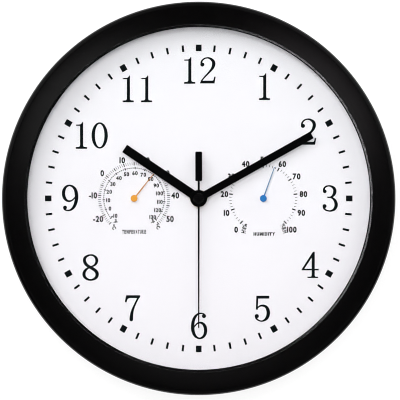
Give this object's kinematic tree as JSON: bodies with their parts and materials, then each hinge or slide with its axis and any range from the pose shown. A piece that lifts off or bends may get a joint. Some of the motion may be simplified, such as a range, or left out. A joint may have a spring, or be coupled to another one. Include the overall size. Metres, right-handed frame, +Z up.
{
  "type": "thermometer hygrometer clock",
  "caption": "Round wall clock with a white numbered dial, hour, minute and second hands, a thermometer and a hygrometer in the dial, a deep black bezel, and a battery movement behind.",
  "frame": {"origin": "centre of the wall plane, on the axis of the hands", "axes": "+X to the right seen from the front, +Z up the dial, and the face looks along -Y, so +Y goes into the wall"},
  "size_m": [0.3, 0.04, 0.3],
  "materials": {
    "case_black": "fine-textured matt black moulding",
    "lens_glass": "clear flat float glass",
    "dial_white": "matt white printed face",
    "dial_ink": "black printing ink",
    "hand_black": "stamped sheet, satin black paint",
    "cap_black": "smooth black moulding",
    "thermometer_orange": "orange moulding",
    "hygrometer_blue": "slate blue moulding",
    "brass": "turned brass",
    "washer_steel": "plain steel",
    "gasket_rubber": "black rubber",
    "movement_black": "spark-eroded black moulding",
    "inner_plastic": "natural acetal",
    "setting_red": "red moulding",
    "magnet": "sintered ferrite",
    "motor_steel": "pressed electrical steel",
    "screw_steel": "zinc-plated steel",
    "copper_wire": "enamelled copper wire",
    "board_green": "solder-masked laminate",
    "crystal_can": "drawn metal can",
    "chip_resin": "black epoxy",
    "battery_sleeve": "plain printed sleeve",
    "contact_nickel": "nickel-plated spring steel",
    "coil_strip": "thin bimetal strip",
    "coil_laminate": "thin metal strip with a humidity-sensitive layer",
    "gauge_cup": "natural moulding"
  },
  "bodies": {
    "case": {"bezel_frame": "case_black", "lens": "lens_glass", "spacer_ring": "case_black", "dial": "dial_white", "hour_numerals": "dial_ink", "minute_marks": "dial_ink", "rear_cover": "case_black", "case_screws": "screw_steel", "hanger_plate": "screw_steel", "hanger_screws": "screw_steel", "mounting_bush": "brass", "bush_nut": "brass", "dial_washer": "washer_steel", "rubber_gasket": "gasket_rubber", "movement_case": "movement_black", "movement_back": "movement_black", "middle_plate": "inner_plastic", "stator": "motor_steel", "coil_core": "motor_steel", "coil_bobbin": "inner_plastic", "coil_winding": "copper_wire", "motor_screws": "screw_steel", "circuit_board": "board_green", "quartz_crystal": "crystal_can", "driver_chip": "chip_resin", "contact_positive": "contact_nickel", "contact_negative": "contact_nickel", "thermometer_housing": "gauge_cup", "thermometer_coil": "coil_strip", "hygrometer_housing": "gauge_cup", "hygrometer_coil": "coil_laminate"},
    "seconds": {"second_hand": "hand_black", "second_hand_cap": "cap_black", "seconds_wheel": "inner_plastic"},
    "minutes": {"minute_hand": "hand_black", "centre_wheel": "inner_plastic"},
    "hours": {"hour_hand": "hand_black", "hour_wheel": "inner_plastic"},
    "motor_rotor": {"rotor": "inner_plastic", "rotor_magnet": "magnet"},
    "intermediate": {"intermediate_wheel": "inner_plastic"},
    "third": {"third_wheel": "inner_plastic"},
    "motion_work": {"minute_wheel": "inner_plastic"},
    "hand_setter": {"setting_pinion": "inner_plastic", "setting_knob": "setting_red"},
    "thermometer_needle": {"thermometer_pointer": "thermometer_orange", "thermometer_arbor": "brass"},
    "hygrometer_needle": {"hygrometer_pointer": "hygrometer_blue", "hygrometer_arbor": "brass"},
    "battery": {"battery": "battery_sleeve"}
  },
  "joints": [
    {"name": "second_hand_turn", "type": "hinge", "parent": "case", "child": "seconds", "pos_m": [0, -0.01, 0], "axis": [0, 1, 0], "continuous": true},
    {"name": "minute_hand_turn", "type": "hinge", "parent": "case", "child": "minutes", "pos_m": [0, -0.01, 0], "axis": [0, 1, 0], "continuous": true},
    {"name": "hour_hand_turn", "type": "hinge", "parent": "case", "child": "hours", "pos_m": [0, -0.01, 0], "axis": [0, 1, 0], "continuous": true},
    {"name": "rotor_turn", "type": "hinge", "parent": "case", "child": "motor_rotor", "pos_m": [0.01367, -0.01, 0.00803], "axis": [0, 1, 0], "continuous": true},
    {"name": "intermediate_wheel_turn", "type": "hinge", "parent": "case", "child": "intermediate", "pos_m": [0.00643, -0.01, 0.0054], "axis": [0, 1, 0], "continuous": true},
    {"name": "third_wheel_turn", "type": "hinge", "parent": "case", "child": "third", "pos_m": [-0.00824, -0.01, 0.00476], "axis": [0, 1, 0], "continuous": true},
    {"name": "minute_wheel_turn", "type": "hinge", "parent": "case", "child": "motion_work", "pos_m": [0.00748, -0.01, 0.00432], "axis": [0, 1, 0], "continuous": true},
    {"name": "setting_knob_turn", "type": "hinge", "parent": "case", "child": "hand_setter", "pos_m": [0.01304, -0.01, -0.0023], "axis": [0, 1, 0], "continuous": true},
    {"name": "thermometer_needle_turn", "type": "hinge", "parent": "case", "child": "thermometer_needle", "pos_m": [-0.0493, -0.01, 0], "axis": [0, 1, 0], "range_deg": [-174.4, 97.6], "stiffness_Nm_per_rad": 0.0002},
    {"name": "hygrometer_needle_turn", "type": "hinge", "parent": "case", "child": "hygrometer_needle", "pos_m": [0.0493, -0.01, 0], "axis": [0, 1, 0], "range_deg": [-157.2, 117.8], "stiffness_Nm_per_rad": 0.0002},
    {"name": "battery_slide", "type": "slide", "parent": "case", "child": "battery", "axis": [0, 1, 0], "range_m": [0, 0.02]}
  ],
  "couplings": [
    {"joint": "minute_hand_turn", "follows": "second_hand_turn", "ratio": 0.016667},
    {"joint": "hour_hand_turn", "follows": "second_hand_turn", "ratio": 0.0013889},
    {"joint": "rotor_turn", "follows": "second_hand_turn", "ratio": 30},
    {"joint": "intermediate_wheel_turn", "follows": "second_hand_turn", "ratio": -5},
    {"joint": "third_wheel_turn", "follows": "second_hand_turn", "ratio": -0.13333},
    {"joint": "minute_wheel_turn", "follows": "second_hand_turn", "ratio": -0.0055556},
    {"joint": "setting_knob_turn", "follows": "second_hand_turn", "ratio": 0.016667}
  ]
}
